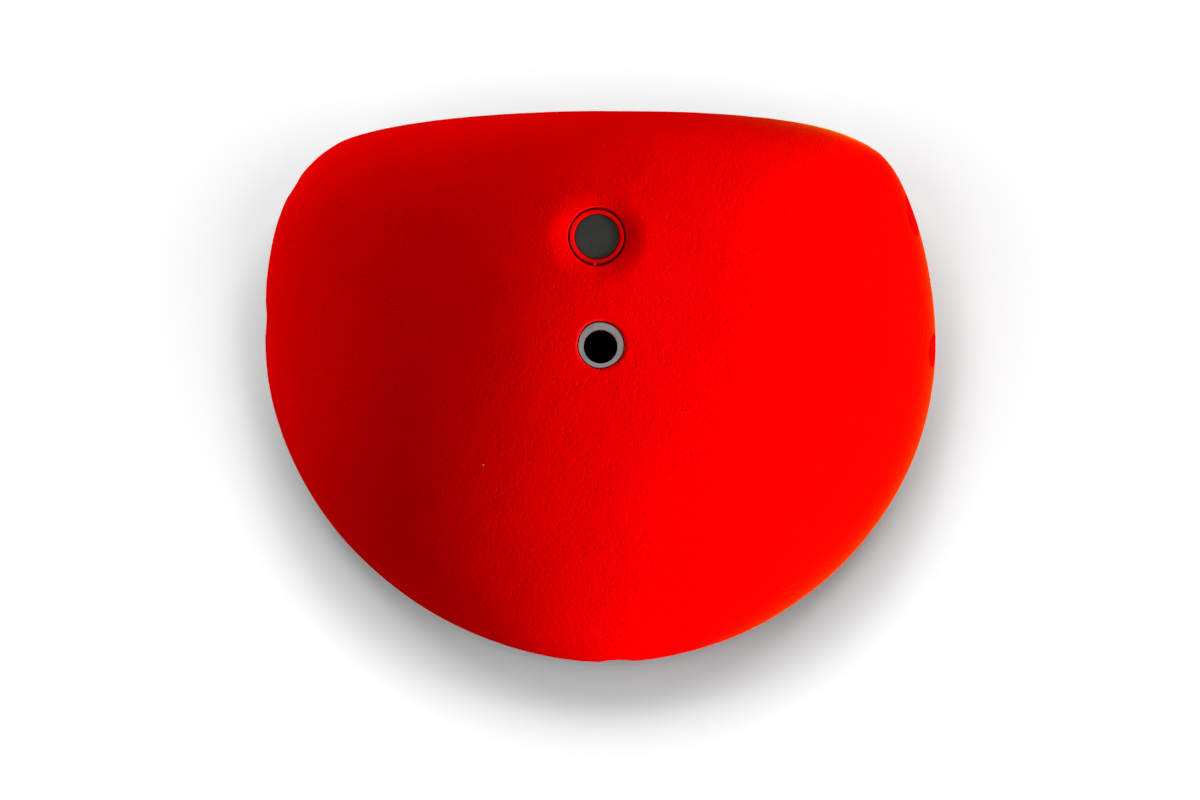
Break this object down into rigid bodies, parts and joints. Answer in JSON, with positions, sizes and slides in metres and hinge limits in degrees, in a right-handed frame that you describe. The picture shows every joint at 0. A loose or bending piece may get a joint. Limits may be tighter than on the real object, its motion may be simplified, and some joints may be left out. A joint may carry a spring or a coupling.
{
  "type": "jug climbing hold",
  "caption": "Two-hand jug climbing hold with a rounded lip, a deep finger pocket, a recessed bolt seat, set-screw pockets in the rim and a hollow ribbed back.",
  "frame": {"origin": "on the axis of the bolt hole, in the wall plane that the hold's back lies in", "axes": "+Z out of the wall along the bolt, +Y up the wall towards the lip and the finger pocket, +X to the right seen from the front"},
  "size_m": [0.24, 0.197, 0.0894],
  "materials": {
    "red_cast": "cast polyurethane resin, solid red, sandy grain all over the front",
    "zinc_steel": "zinc-plated steel, dull grey",
    "badge_red": "smooth red resin",
    "badge_dark": "dark grey resin, satin, bare"
  },
  "bodies": {
    "root": {"grip_shell": "red_cast", "bolt_washer": "zinc_steel", "badge_coin": "badge_red", "badge_inlay": "badge_dark", "set_screw_washer_right": "zinc_steel", "set_screw_washer_upper_right": "zinc_steel", "set_screw_washer_upper_left": "zinc_steel", "set_screw_washer_left": "zinc_steel", "set_screw_washer_bottom": "zinc_steel"}
  },
  "joints": []
}
